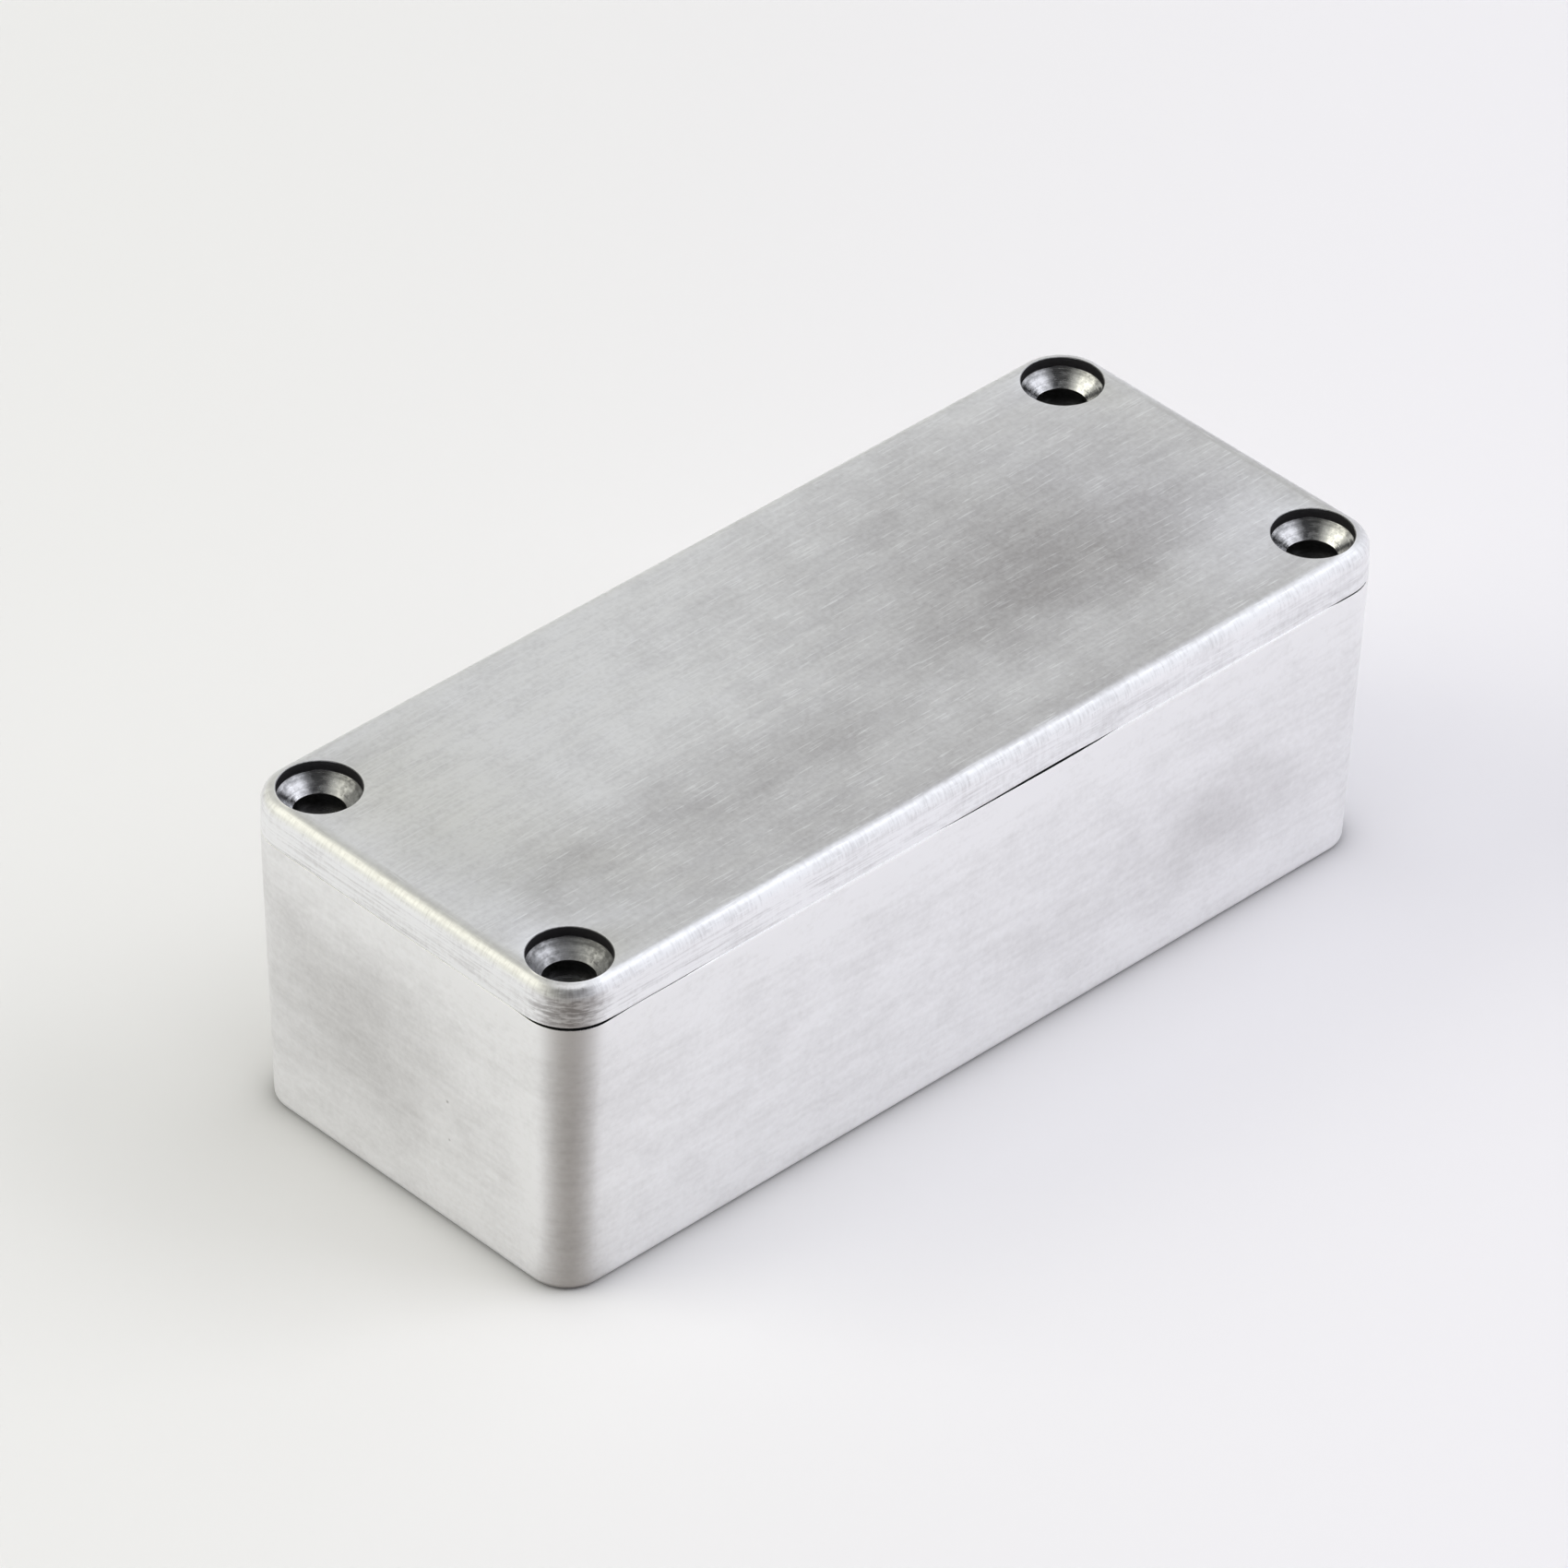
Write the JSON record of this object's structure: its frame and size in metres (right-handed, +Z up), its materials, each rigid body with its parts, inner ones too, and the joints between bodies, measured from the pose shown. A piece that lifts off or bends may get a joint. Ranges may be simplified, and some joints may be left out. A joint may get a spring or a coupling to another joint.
{
  "type": "die cast aluminium box",
  "caption": "Small die cast aluminium enclosure: an open base with tapered walls and corner posts, and a rounded lid with countersunk corner screw holes.",
  "frame": {"origin": "middle of the base's flat underside, on the plane that the box stands on", "axes": "+X along the box, +Y across it, +Z up through the lid"},
  "size_m": [0.0926, 0.0384, 0.031],
  "materials": {
    "base_casting": "satin die cast aluminium, tumbled, with faint lengthwise streaks",
    "lid_casting": "linished die cast aluminium, with streaks along its length and bright machined countersinks"
  },
  "bodies": {
    "root": {"base": "base_casting", "lid": "lid_casting"}
  },
  "joints": []
}
